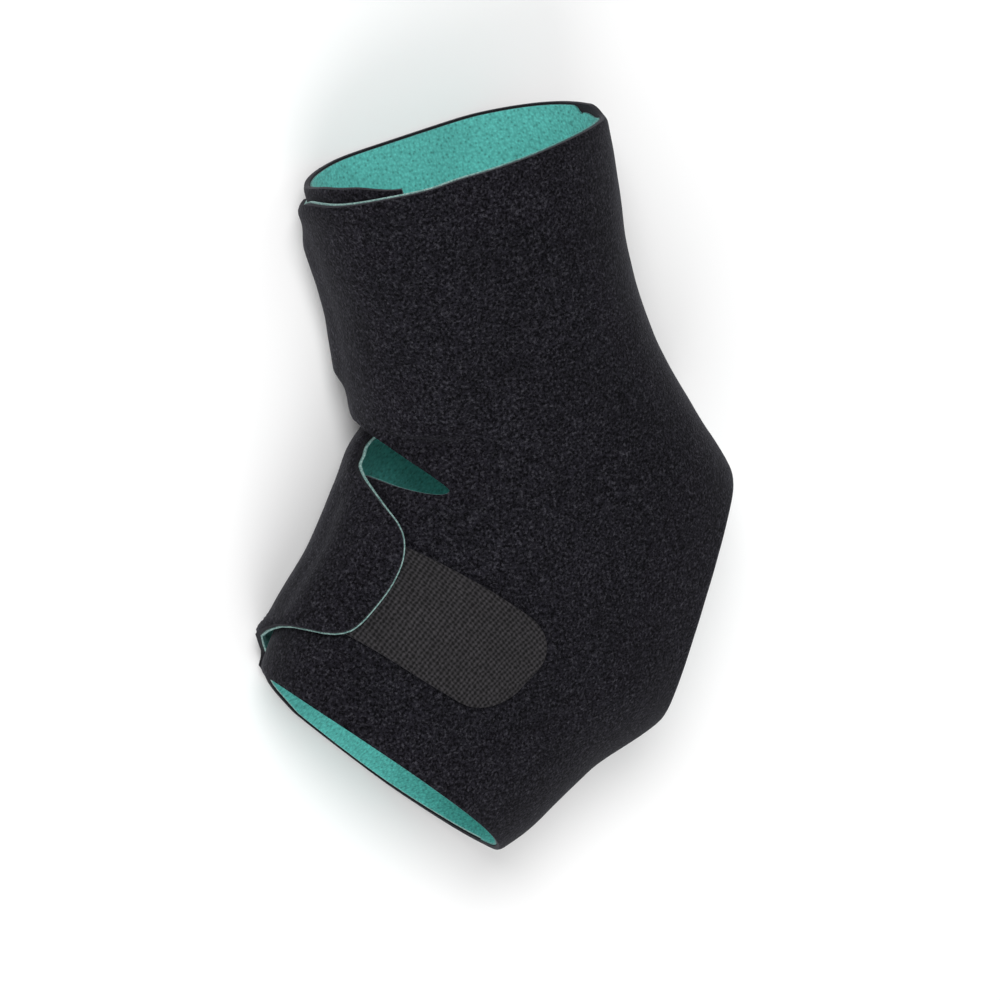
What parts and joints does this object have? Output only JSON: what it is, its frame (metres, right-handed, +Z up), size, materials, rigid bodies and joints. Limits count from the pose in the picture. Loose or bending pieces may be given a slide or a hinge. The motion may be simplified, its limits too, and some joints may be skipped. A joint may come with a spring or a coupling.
{
  "type": "ankle brace",
  "caption": "Open-heel wrap-around ankle brace of plush-faced foam with a mesh lining, a leg flap, and an instep lobe held by a wide hook tab",
  "frame": {"origin": "on the surface that the brace lies on, under the middle of its box", "axes": "+Y up the leg, +X to the heel, +Z up from the surface to the near side"},
  "size_m": [0.1628, 0.2138, 0.0695],
  "materials": {
    "plush_foam": "matte loop plush",
    "mesh_lining": "matte knitted mesh",
    "hook_tape": "matte woven hook tape"
  },
  "bodies": {
    "root": {"body_shell": "plush_foam", "lining": "mesh_lining", "instep_hook_tab": "hook_tape", "leg_hook_tab": "hook_tape"}
  },
  "joints": []
}
